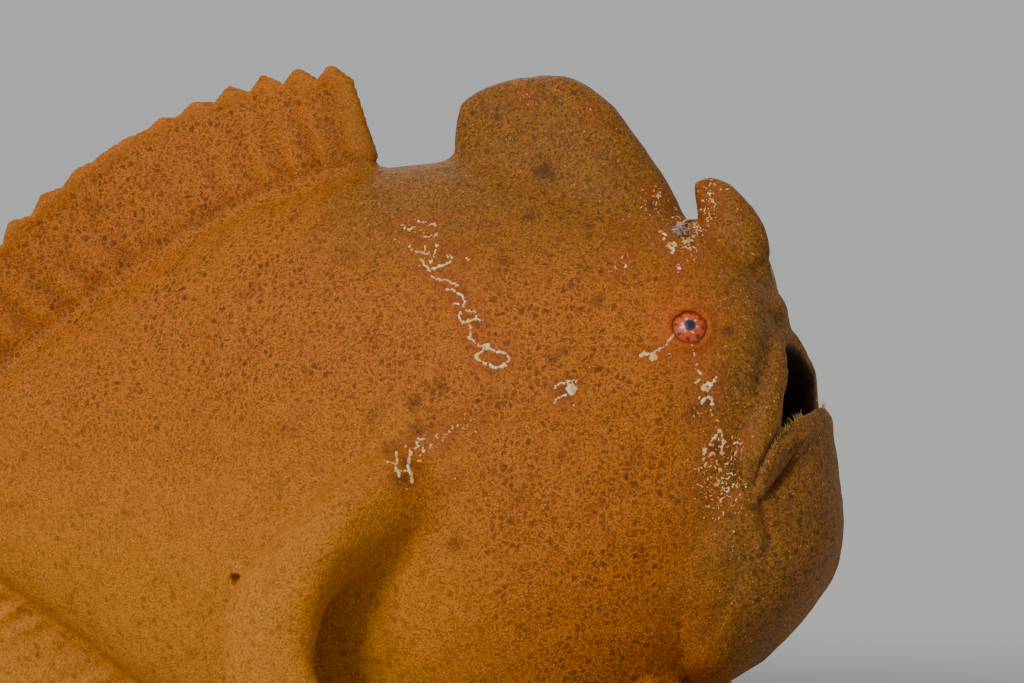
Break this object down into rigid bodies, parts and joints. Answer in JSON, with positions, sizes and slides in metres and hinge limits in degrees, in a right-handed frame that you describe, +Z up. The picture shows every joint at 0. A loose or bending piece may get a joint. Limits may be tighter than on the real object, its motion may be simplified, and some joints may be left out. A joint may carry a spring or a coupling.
{
  "type": "giant frogfish",
  "caption": "Still life-size model of a giant frogfish sitting on its belly, arms and feet, with rod and lure, raised head spines and a half-open upturned mouth.",
  "frame": {"origin": "on the floor, under the middle of the fish's outline", "axes": "+X towards the snout, +Y towards the fish's left, +Z up"},
  "size_m": [0.3288, 0.1822, 0.1867],
  "materials": {
    "skin": "finely warty skin, golden brown with a net of dark spots, olive on the head and cream crusty marks",
    "fin": "the same skin drawn thin over raised rays",
    "eye": "wet, orange with dark spokes round a small black pupil",
    "lure": "pale, fleshy and faintly translucent"
  },
  "bodies": {
    "root": {"head": "skin", "trunk": "skin", "tail": "skin", "lower_jaw": "skin", "second_dorsal_spine": "skin", "third_dorsal_spine": "skin", "fishing_rod": "lure", "lure": "lure", "dorsal_fin": "fin", "anal_fin": "fin", "tail_fin": "fin", "arm_left": "skin", "arm_right": "skin", "hand_left": "fin", "hand_right": "fin", "foot_left": "fin", "foot_right": "fin", "eye_left": "eye", "eye_right": "eye"}
  },
  "joints": []
}
